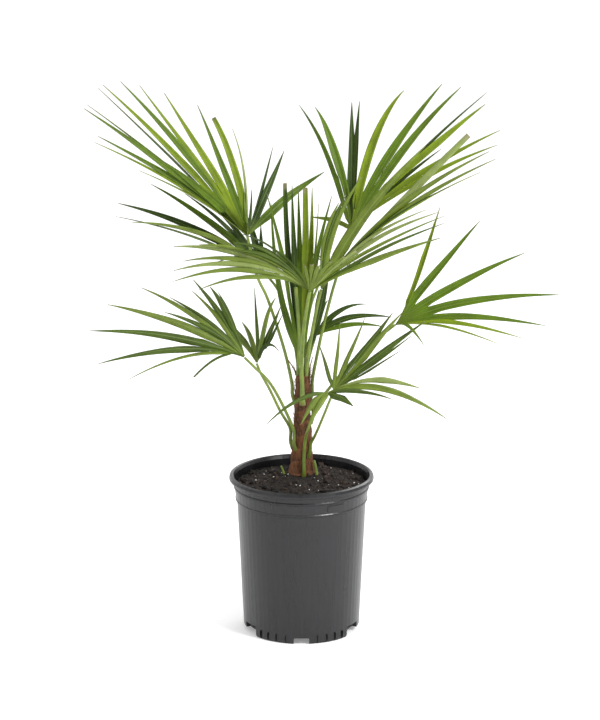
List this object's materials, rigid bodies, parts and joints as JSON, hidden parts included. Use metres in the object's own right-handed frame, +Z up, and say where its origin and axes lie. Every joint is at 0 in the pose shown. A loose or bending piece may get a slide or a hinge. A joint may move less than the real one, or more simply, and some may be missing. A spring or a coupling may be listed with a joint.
{
  "type": "potted windmill palm",
  "caption": "Young windmill palm with fan-shaped pleated fronds on slender stalks over a short fibrous trunk, growing in soil in a tapered black plastic nursery pot.",
  "frame": {"origin": "centre of the pot's round foot, on the floor that it stands on", "axes": "+Z up along the pot's axis, -Y towards the side that the picture shows, +X to the right in the picture"},
  "size_m": [0.7567, 0.4934, 0.9025],
  "materials": {
    "pot_plastic": "black satin plastic",
    "soil": "dark moist potting mix",
    "trunk_fibre": "reddish brown fibre",
    "stalk_green": "yellow-green, slightly glossy",
    "leaf_green": "pleated green leaf, satin"
  },
  "bodies": {
    "root": {"pot": "pot_plastic", "soil": "soil", "trunk": "trunk_fibre", "stalk_front": "stalk_green", "fan_front": "leaf_green", "stalk_bright": "stalk_green", "fan_bright": "leaf_green", "stalk_upper_left": "stalk_green", "fan_upper_left": "leaf_green", "stalk_upper_right": "stalk_green", "fan_upper_right": "leaf_green", "stalk_spear_leaf": "stalk_green", "fan_spear_leaf": "leaf_green", "stalk_lower_left": "stalk_green", "fan_lower_left": "leaf_green", "stalk_left_behind": "stalk_green", "fan_left_behind": "leaf_green", "stalk_far_right": "stalk_green", "fan_far_right": "leaf_green", "stalk_low_front": "stalk_green", "fan_low_front": "leaf_green", "stalk_low_right": "stalk_green", "fan_low_right": "leaf_green", "stalk_small_right": "stalk_green", "fan_small_right": "leaf_green", "stalk_left_back": "stalk_green", "fan_left_back": "leaf_green", "stalk_back_left": "stalk_green", "fan_back_left": "leaf_green", "stalk_back_right": "stalk_green", "fan_back_right": "leaf_green", "cut_spear": "stalk_green", "soil_stub_left": "stalk_green", "soil_stub_right": "stalk_green", "torn_fibre_left": "trunk_fibre", "torn_fibre_right": "trunk_fibre"}
  },
  "joints": []
}
